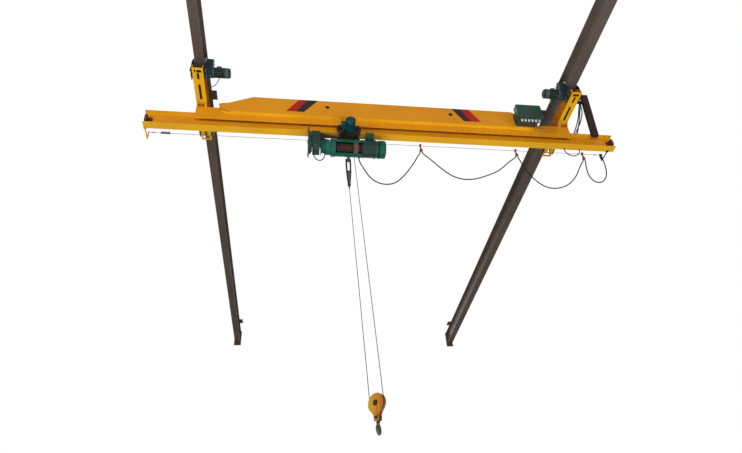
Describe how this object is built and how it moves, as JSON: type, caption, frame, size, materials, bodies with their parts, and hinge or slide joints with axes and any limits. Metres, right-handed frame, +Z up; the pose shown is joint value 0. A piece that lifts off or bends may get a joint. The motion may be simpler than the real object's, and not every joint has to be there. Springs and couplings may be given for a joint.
{
  "type": "under-slung overhead bridge crane",
  "caption": "Under-slung single-girder overhead crane on hung I-beam runways, with a wire-rope hoist, hook block and cable festoon.",
  "frame": {"origin": "centre of the top face of the left runway's middle hanger plate, where it bolts up to the roof", "axes": "+X across the bay to the right runway, +Y along the runways away from the viewer, +Z up"},
  "size_m": [7, 15.024, 5.3872],
  "materials": {
    "crane_yellow": "semi-gloss",
    "runway_brown": "satin",
    "hoist_green": "gloss",
    "bracket_teal": "satin",
    "bare_steel": "satin",
    "forged_black": "matt",
    "black_rubber": "matt",
    "carrier_red": "matt",
    "gland_grey": "matt",
    "rope_wire": "greasy"
  },
  "bodies": {
    "runways": {"runway_left": "runway_brown", "runway_right": "runway_brown", "hanger_plates": "runway_brown", "runway_stops": "runway_brown", "runway_buffers": "black_rubber"},
    "bridge": {"girder_beam": "crane_yellow", "girder_box": "crane_yellow", "girder_skirts": "crane_yellow", "saddle_left": "crane_yellow", "saddle_right": "crane_yellow", "end_carriage_left": "crane_yellow", "end_carriage_right": "crane_yellow", "wheel_brackets_left": "bracket_teal", "wheel_brackets_right": "bracket_teal", "drive_gearcase_left": "bracket_teal", "drive_gearcase_right": "bracket_teal", "drive_motor_left": "hoist_green", "drive_motor_right": "hoist_green", "girder_stops": "black_rubber", "girder_cable": "black_rubber", "control_box": "hoist_green", "cable_glands": "gland_grey", "wire_brackets": "forged_black", "cable_wire": "bare_steel", "cable_mast": "forged_black", "mast_cable_1": "black_rubber", "mast_cable_2": "black_rubber", "mast_cable_3": "black_rubber", "festoon_cable_4": "black_rubber"},
    "bridge_wheels_near": {"bridge_wheels_near": "bare_steel"},
    "bridge_wheels_far": {"bridge_wheels_far": "bare_steel"},
    "hoist_trolley": {"trolley_frame": "bracket_teal", "trolley_motor": "bracket_teal", "hoist_shell": "bracket_teal", "hoist_gearbox": "bracket_teal", "hoist_motor": "hoist_green", "hoist_terminal_box": "hoist_green", "hoist_control_box": "bracket_teal", "hoist_tie_bars": "forged_black", "rope_guide": "runway_brown", "rope_anchor": "bare_steel", "rope_falls": "rope_wire", "hoist_cable": "black_rubber", "festoon_cable_1": "black_rubber"},
    "trolley_wheels_left": {"trolley_wheels_left": "bare_steel"},
    "trolley_wheels_right": {"trolley_wheels_right": "bare_steel"},
    "drum": {"drum": "bare_steel"},
    "hook_block": {"rope_bight": "rope_wire", "block_cheeks": "crane_yellow", "block_crosshead": "forged_black"},
    "sheave": {"sheave": "bare_steel"},
    "hook": {"hook": "forged_black"},
    "carrier_left": {"cable_carrier_left": "carrier_red", "festoon_cable_2": "black_rubber"},
    "carrier_middle": {"cable_carrier_middle": "carrier_red", "festoon_cable_3": "black_rubber"},
    "carrier_right": {"cable_carrier_right": "carrier_red"}
  },
  "joints": [
    {"name": "bridge_travel", "type": "slide", "parent": "runways", "child": "bridge", "axis": [0, 1, 0], "range_m": [-6.46, 6.93]},
    {"name": "trolley_travel", "type": "slide", "parent": "bridge", "child": "hoist_trolley", "axis": [1, 0, 0], "range_m": [-2.57, 2.75], "deforming": ["festoon_cable_1", "festoon_cable_2", "festoon_cable_3", "festoon_cable_4"]},
    {"name": "hook_lift", "type": "slide", "parent": "hoist_trolley", "child": "hook_block", "axis": [0, 0, 1], "range_m": [-2.8, 2.6], "deforming": ["rope_falls"]},
    {"name": "hook_swivel", "type": "hinge", "parent": "hook_block", "child": "hook", "pos_m": [2.313, -0.12, -5.244], "axis": [0, 0, 1], "continuous": true},
    {"name": "drum_spin", "type": "hinge", "parent": "hoist_trolley", "child": "drum", "pos_m": [2.125, -0.235, -1.294], "axis": [1, 0, 0], "range_deg": [-4700, 4700]},
    {"name": "sheave_spin", "type": "hinge", "parent": "hook_block", "child": "sheave", "pos_m": [2.313, -0.12, -5.044], "axis": [0.766, 0.6428, 0], "range_deg": [-1700, 1700]},
    {"name": "bridge_wheels_near_roll", "type": "hinge", "parent": "bridge", "child": "bridge_wheels_near", "pos_m": [0, -0.765, -0.2587], "axis": [1, 0, 0], "range_deg": [-6600, 6600]},
    {"name": "bridge_wheels_far_roll", "type": "hinge", "parent": "bridge", "child": "bridge_wheels_far", "pos_m": [0, 0.295, -0.2587], "axis": [1, 0, 0], "range_deg": [-6600, 6600]},
    {"name": "trolley_wheels_left_roll", "type": "hinge", "parent": "hoist_trolley", "child": "trolley_wheels_left", "pos_m": [2.007, -0.235, -0.9607], "axis": [0, 1, 0], "range_deg": [-4400, 4400]},
    {"name": "trolley_wheels_right_roll", "type": "hinge", "parent": "hoist_trolley", "child": "trolley_wheels_right", "pos_m": [2.243, -0.235, -0.9607], "axis": [0, 1, 0], "range_deg": [-4400, 4400]},
    {"name": "carrier_left_slide", "type": "slide", "parent": "bridge", "child": "carrier_left", "axis": [1, 0, 0], "range_m": [-1.706, 1.825]},
    {"name": "carrier_middle_slide", "type": "slide", "parent": "bridge", "child": "carrier_middle", "axis": [1, 0, 0], "range_m": [-1.089, 1.165]},
    {"name": "carrier_right_slide", "type": "slide", "parent": "bridge", "child": "carrier_right", "axis": [1, 0, 0], "range_m": [-0.241, 0.258]}
  ],
  "couplings": [
    {"joint": "drum_spin", "follows": "hook_lift", "rad_per_m": 25},
    {"joint": "sheave_spin", "follows": "hook_lift", "rad_per_m": -10},
    {"joint": "bridge_wheels_near_roll", "follows": "bridge_travel", "rad_per_m": -16.129},
    {"joint": "bridge_wheels_far_roll", "follows": "bridge_travel", "rad_per_m": -16.129},
    {"joint": "trolley_wheels_left_roll", "follows": "trolley_travel", "rad_per_m": 19.231},
    {"joint": "trolley_wheels_right_roll", "follows": "trolley_travel", "rad_per_m": 19.231},
    {"joint": "carrier_left_slide", "follows": "trolley_travel", "ratio": 0.66},
    {"joint": "carrier_middle_slide", "follows": "trolley_travel", "ratio": 0.42},
    {"joint": "carrier_right_slide", "follows": "trolley_travel", "ratio": 0.09}
  ]
}
